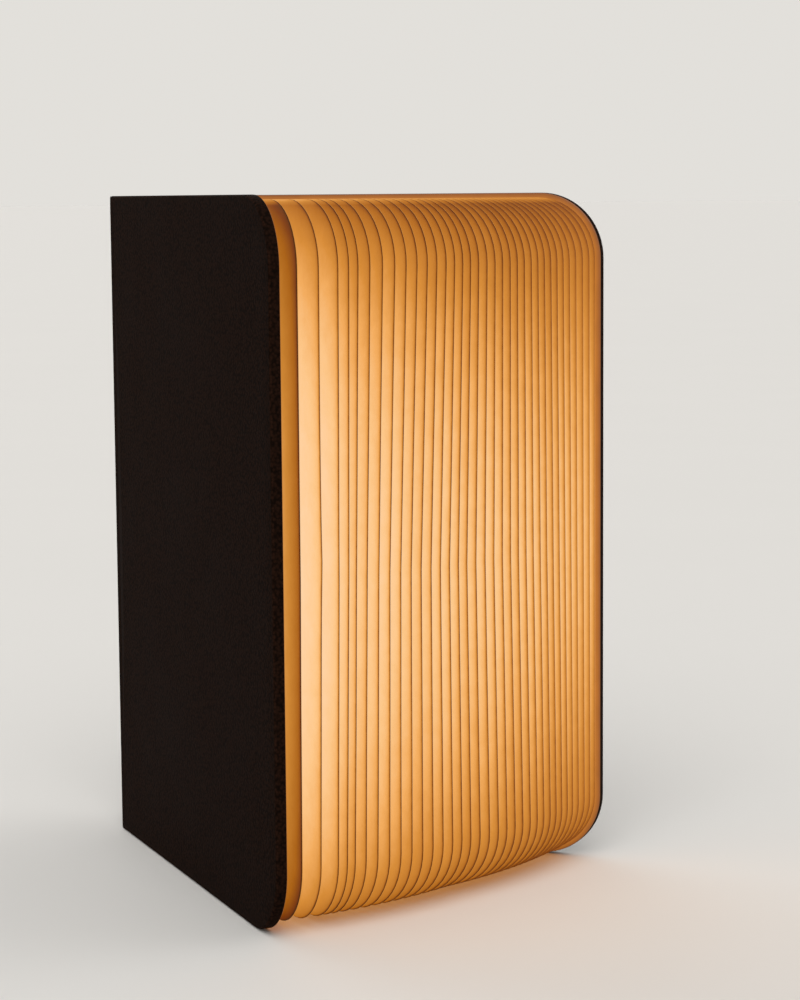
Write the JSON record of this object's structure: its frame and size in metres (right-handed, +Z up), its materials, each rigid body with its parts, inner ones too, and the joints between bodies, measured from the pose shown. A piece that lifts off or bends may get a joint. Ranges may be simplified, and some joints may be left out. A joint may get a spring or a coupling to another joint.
{
  "type": "folding book lamp",
  "caption": "Lamp in the form of a hardback book: hinged covers open a fan of lit translucent pages round a light bar in the spine.",
  "frame": {"origin": "centre of the lamp's bounding box on the surface that it stands on", "axes": "+Z up along the spine, -Y the way the pages open, +X towards the right cover as seen from the open side"},
  "size_m": [0.1436, 0.154, 0.215],
  "materials": {
    "cover_leather": "near-black brown, smooth, low sheen",
    "board": "grey-brown bookbinding board, matt",
    "liner_paper": "dark brown lining paper, matt",
    "magnet_nickel": "nickel plate, satin",
    "screw_steel": "zinc-plated steel, satin",
    "channel_aluminium": "extruded aluminium, satin anodised",
    "diffuser_plastic": "frosted translucent plastic, matt",
    "light_board_white": "white circuit board, semi-matt",
    "lights_yellow": "yellow phosphor window, gloss",
    "circuit_green": "green circuit board, semi-matt",
    "black_plastic": "black moulded plastic, fine texture",
    "cell_wrap": "blue shrink wrap, gloss",
    "lead_wire": "red wire insulation, satin",
    "socket_steel": "stamped stainless steel, bright",
    "switch_glass": "clear green glass tube, gloss",
    "page_paper": "translucent white page, matt, lit from inside"
  },
  "bodies": {
    "spine": {"spine_skin": "cover_leather", "spine_board": "board", "light_channel": "channel_aluminium", "diffuser": "diffuser_plastic", "light_board": "light_board_white", "lights": "lights_yellow", "control_board": "circuit_green", "board_header": "black_plastic", "cell": "cell_wrap", "cell_leads": "lead_wire", "charge_socket": "socket_steel", "reed_switch": "switch_glass", "bottom_cap": "black_plastic", "top_cap": "black_plastic", "cap_screws": "screw_steel", "channel_screws": "screw_steel"},
    "right_cover": {"right_skin": "cover_leather", "right_board": "board", "right_liner": "liner_paper", "right_magnets": "magnet_nickel"},
    "left_cover": {"left_skin": "cover_leather", "left_board": "board", "left_liner": "liner_paper", "left_magnets": "magnet_nickel", "switch_magnet": "magnet_nickel"},
    "page_01": {"page_01": "page_paper"},
    "page_02": {"page_02": "page_paper"},
    "page_03": {"page_03": "page_paper"},
    "page_04": {"page_04": "page_paper"},
    "page_05": {"page_05": "page_paper"},
    "page_06": {"page_06": "page_paper"},
    "page_07": {"page_07": "page_paper"},
    "page_08": {"page_08": "page_paper"},
    "page_09": {"page_09": "page_paper"},
    "page_10": {"page_10": "page_paper"},
    "page_11": {"page_11": "page_paper"},
    "page_12": {"page_12": "page_paper"},
    "page_13": {"page_13": "page_paper"},
    "page_14": {"page_14": "page_paper"},
    "page_15": {"page_15": "page_paper"},
    "page_16": {"page_16": "page_paper"},
    "page_17": {"page_17": "page_paper"},
    "page_18": {"page_18": "page_paper"},
    "page_19": {"page_19": "page_paper"},
    "page_20": {"page_20": "page_paper"},
    "page_21": {"page_21": "page_paper"},
    "page_22": {"page_22": "page_paper"},
    "page_23": {"page_23": "page_paper"},
    "page_24": {"page_24": "page_paper"},
    "page_25": {"page_25": "page_paper"},
    "page_26": {"page_26": "page_paper"},
    "page_27": {"page_27": "page_paper"},
    "page_28": {"page_28": "page_paper"},
    "page_29": {"page_29": "page_paper"},
    "page_30": {"page_30": "page_paper"},
    "page_31": {"page_31": "page_paper"},
    "page_32": {"page_32": "page_paper"},
    "page_33": {"page_33": "page_paper"},
    "page_34": {"page_34": "page_paper"}
  },
  "joints": [
    {"name": "right_cover_hinge", "type": "hinge", "parent": "spine", "child": "right_cover", "pos_m": [0.013, 0.07698, 0], "axis": [0, 0, 1], "range_deg": [-22.3, 162.4]},
    {"name": "left_cover_hinge", "type": "hinge", "parent": "spine", "child": "left_cover", "pos_m": [-0.013, 0.07698, 0], "axis": [0, 0, -1], "range_deg": [-22.3, 162.4]},
    {"name": "page_01_hinge", "type": "hinge", "parent": "spine", "child": "page_01", "pos_m": [-0.013, 0.07698, 0], "axis": [0, 0, -1], "range_deg": [-20.47, 149.02]},
    {"name": "page_02_hinge", "type": "hinge", "parent": "spine", "child": "page_02", "pos_m": [-0.013, 0.07698, 0], "axis": [0, 0, -1], "range_deg": [-18.28, 133.04]},
    {"name": "page_03_hinge", "type": "hinge", "parent": "spine", "child": "page_03", "pos_m": [-0.013, 0.07698, 0], "axis": [0, 0, -1], "range_deg": [-16.27, 118.45]},
    {"name": "page_04_hinge", "type": "hinge", "parent": "spine", "child": "page_04", "pos_m": [-0.013, 0.07698, 0], "axis": [0, 0, -1], "range_deg": [-15.25, 111.02]},
    {"name": "page_05_hinge", "type": "hinge", "parent": "spine", "child": "page_05", "pos_m": [-0.013, 0.07698, 0], "axis": [0, 0, -1], "range_deg": [-14.42, 104.95]},
    {"name": "page_06_hinge", "type": "hinge", "parent": "spine", "child": "page_06", "pos_m": [-0.013, 0.07698, 0], "axis": [0, 0, -1], "range_deg": [-13.2, 96.05]},
    {"name": "page_07_hinge", "type": "hinge", "parent": "spine", "child": "page_07", "pos_m": [-0.013, 0.07698, 0], "axis": [0, 0, -1], "range_deg": [-11.83, 86.11]},
    {"name": "page_08_hinge", "type": "hinge", "parent": "spine", "child": "page_08", "pos_m": [-0.013, 0.07698, 0], "axis": [0, 0, -1], "range_deg": [-10.48, 76.24]},
    {"name": "page_09_hinge", "type": "hinge", "parent": "spine", "child": "page_09", "pos_m": [-0.013, 0.07698, 0], "axis": [0, 0, -1], "range_deg": [-9.15, 66.57]},
    {"name": "page_10_hinge", "type": "hinge", "parent": "spine", "child": "page_10", "pos_m": [-0.013, 0.07698, 0], "axis": [0, 0, -1], "range_deg": [-7.85, 57.09]},
    {"name": "page_11_hinge", "type": "hinge", "parent": "spine", "child": "page_11", "pos_m": [-0.013, 0.07698, 0], "axis": [0, 0, -1], "range_deg": [-6.57, 47.79]},
    {"name": "page_12_hinge", "type": "hinge", "parent": "spine", "child": "page_12", "pos_m": [-0.013, 0.07698, 0], "axis": [0, 0, -1], "range_deg": [-5.32, 38.65]},
    {"name": "page_13_hinge", "type": "hinge", "parent": "spine", "child": "page_13", "pos_m": [-0.013, 0.07698, 0], "axis": [0, 0, -1], "range_deg": [-4.08, 29.66]},
    {"name": "page_14_hinge", "type": "hinge", "parent": "spine", "child": "page_14", "pos_m": [-0.013, 0.07698, 0], "axis": [0, 0, -1], "range_deg": [-2.86, 20.8]},
    {"name": "page_15_hinge", "type": "hinge", "parent": "spine", "child": "page_15", "pos_m": [-0.013, 0.07698, 0], "axis": [0, 0, -1], "range_deg": [-1.66, 12.05]},
    {"name": "page_16_hinge", "type": "hinge", "parent": "spine", "child": "page_16", "pos_m": [-0.013, 0.07698, 0], "axis": [0, 0, -1], "range_deg": [-0.48, 3.4]},
    {"name": "page_17_hinge", "type": "hinge", "parent": "spine", "child": "page_17", "pos_m": [0.013, 0.07698, 0], "axis": [0, 0, 1], "range_deg": [-0.72, 5.18]},
    {"name": "page_18_hinge", "type": "hinge", "parent": "spine", "child": "page_18", "pos_m": [0.013, 0.07698, 0], "axis": [0, 0, 1], "range_deg": [-1.89, 13.67]},
    {"name": "page_19_hinge", "type": "hinge", "parent": "spine", "child": "page_19", "pos_m": [0.013, 0.07698, 0], "axis": [0, 0, 1], "range_deg": [-3.04, 22.11]},
    {"name": "page_20_hinge", "type": "hinge", "parent": "spine", "child": "page_20", "pos_m": [0.013, 0.07698, 0], "axis": [0, 0, 1], "range_deg": [-4.2, 30.5]},
    {"name": "page_21_hinge", "type": "hinge", "parent": "spine", "child": "page_21", "pos_m": [0.013, 0.07698, 0], "axis": [0, 0, 1], "range_deg": [-5.35, 38.88]},
    {"name": "page_22_hinge", "type": "hinge", "parent": "spine", "child": "page_22", "pos_m": [0.013, 0.07698, 0], "axis": [0, 0, 1], "range_deg": [-6.5, 47.25]},
    {"name": "page_23_hinge", "type": "hinge", "parent": "spine", "child": "page_23", "pos_m": [0.013, 0.07698, 0], "axis": [0, 0, 1], "range_deg": [-7.65, 55.63]},
    {"name": "page_24_hinge", "type": "hinge", "parent": "spine", "child": "page_24", "pos_m": [0.013, 0.07698, 0], "axis": [0, 0, 1], "range_deg": [-8.8, 64.03]},
    {"name": "page_25_hinge", "type": "hinge", "parent": "spine", "child": "page_25", "pos_m": [0.013, 0.07698, 0], "axis": [0, 0, 1], "range_deg": [-9.96, 72.47]},
    {"name": "page_26_hinge", "type": "hinge", "parent": "spine", "child": "page_26", "pos_m": [0.013, 0.07698, 0], "axis": [0, 0, 1], "range_deg": [-11.13, 80.96]},
    {"name": "page_27_hinge", "type": "hinge", "parent": "spine", "child": "page_27", "pos_m": [0.013, 0.07698, 0], "axis": [0, 0, 1], "range_deg": [-12.3, 89.53]},
    {"name": "page_28_hinge", "type": "hinge", "parent": "spine", "child": "page_28", "pos_m": [0.013, 0.07698, 0], "axis": [0, 0, 1], "range_deg": [-13.49, 98.2]},
    {"name": "page_29_hinge", "type": "hinge", "parent": "spine", "child": "page_29", "pos_m": [0.013, 0.07698, 0], "axis": [0, 0, 1], "range_deg": [-14.71, 107.09]},
    {"name": "page_30_hinge", "type": "hinge", "parent": "spine", "child": "page_30", "pos_m": [0.013, 0.07698, 0], "axis": [0, 0, 1], "range_deg": [-16, 116.47]},
    {"name": "page_31_hinge", "type": "hinge", "parent": "spine", "child": "page_31", "pos_m": [0.013, 0.07698, 0], "axis": [0, 0, 1], "range_deg": [-17.43, 126.87]},
    {"name": "page_32_hinge", "type": "hinge", "parent": "spine", "child": "page_32", "pos_m": [0.013, 0.07698, 0], "axis": [0, 0, 1], "range_deg": [-19.04, 138.56]},
    {"name": "page_33_hinge", "type": "hinge", "parent": "spine", "child": "page_33", "pos_m": [0.013, 0.07698, 0], "axis": [0, 0, 1], "range_deg": [-20.7, 150.72]},
    {"name": "page_34_hinge", "type": "hinge", "parent": "spine", "child": "page_34", "pos_m": [0.013, 0.07698, 0], "axis": [0, 0, 1], "range_deg": [-22.18, 161.5]}
  ],
  "couplings": [
    {"joint": "left_cover_hinge", "follows": "right_cover_hinge", "ratio": 1},
    {"joint": "page_01_hinge", "follows": "right_cover_hinge", "ratio": 0.91755},
    {"joint": "page_02_hinge", "follows": "right_cover_hinge", "ratio": 0.81916},
    {"joint": "page_03_hinge", "follows": "right_cover_hinge", "ratio": 0.72931},
    {"joint": "page_04_hinge", "follows": "right_cover_hinge", "ratio": 0.68356},
    {"joint": "page_05_hinge", "follows": "right_cover_hinge", "ratio": 0.64617},
    {"joint": "page_06_hinge", "follows": "right_cover_hinge", "ratio": 0.59137},
    {"joint": "page_07_hinge", "follows": "right_cover_hinge", "ratio": 0.53019},
    {"joint": "page_08_hinge", "follows": "right_cover_hinge", "ratio": 0.4694},
    {"joint": "page_09_hinge", "follows": "right_cover_hinge", "ratio": 0.40985},
    {"joint": "page_10_hinge", "follows": "right_cover_hinge", "ratio": 0.35149},
    {"joint": "page_11_hinge", "follows": "right_cover_hinge", "ratio": 0.29421},
    {"joint": "page_12_hinge", "follows": "right_cover_hinge", "ratio": 0.23794},
    {"joint": "page_13_hinge", "follows": "right_cover_hinge", "ratio": 0.18257},
    {"joint": "page_14_hinge", "follows": "right_cover_hinge", "ratio": 0.128},
    {"joint": "page_15_hinge", "follows": "right_cover_hinge", "ratio": 0.074146},
    {"joint": "page_16_hinge", "follows": "right_cover_hinge", "ratio": 0.020908},
    {"joint": "page_17_hinge", "follows": "right_cover_hinge", "ratio": 0.031808},
    {"joint": "page_18_hinge", "follows": "right_cover_hinge", "ratio": 0.084097},
    {"joint": "page_19_hinge", "follows": "right_cover_hinge", "ratio": 0.13606},
    {"joint": "page_20_hinge", "follows": "right_cover_hinge", "ratio": 0.18778},
    {"joint": "page_21_hinge", "follows": "right_cover_hinge", "ratio": 0.23936},
    {"joint": "page_22_hinge", "follows": "right_cover_hinge", "ratio": 0.2909},
    {"joint": "page_23_hinge", "follows": "right_cover_hinge", "ratio": 0.34248},
    {"joint": "page_24_hinge", "follows": "right_cover_hinge", "ratio": 0.39421},
    {"joint": "page_25_hinge", "follows": "right_cover_hinge", "ratio": 0.44618},
    {"joint": "page_26_hinge", "follows": "right_cover_hinge", "ratio": 0.49849},
    {"joint": "page_27_hinge", "follows": "right_cover_hinge", "ratio": 0.55124},
    {"joint": "page_28_hinge", "follows": "right_cover_hinge", "ratio": 0.60465},
    {"joint": "page_29_hinge", "follows": "right_cover_hinge", "ratio": 0.65935},
    {"joint": "page_30_hinge", "follows": "right_cover_hinge", "ratio": 0.71713},
    {"joint": "page_31_hinge", "follows": "right_cover_hinge", "ratio": 0.78116},
    {"joint": "page_32_hinge", "follows": "right_cover_hinge", "ratio": 0.85315},
    {"joint": "page_33_hinge", "follows": "right_cover_hinge", "ratio": 0.928},
    {"joint": "page_34_hinge", "follows": "right_cover_hinge", "ratio": 0.9944}
  ]
}
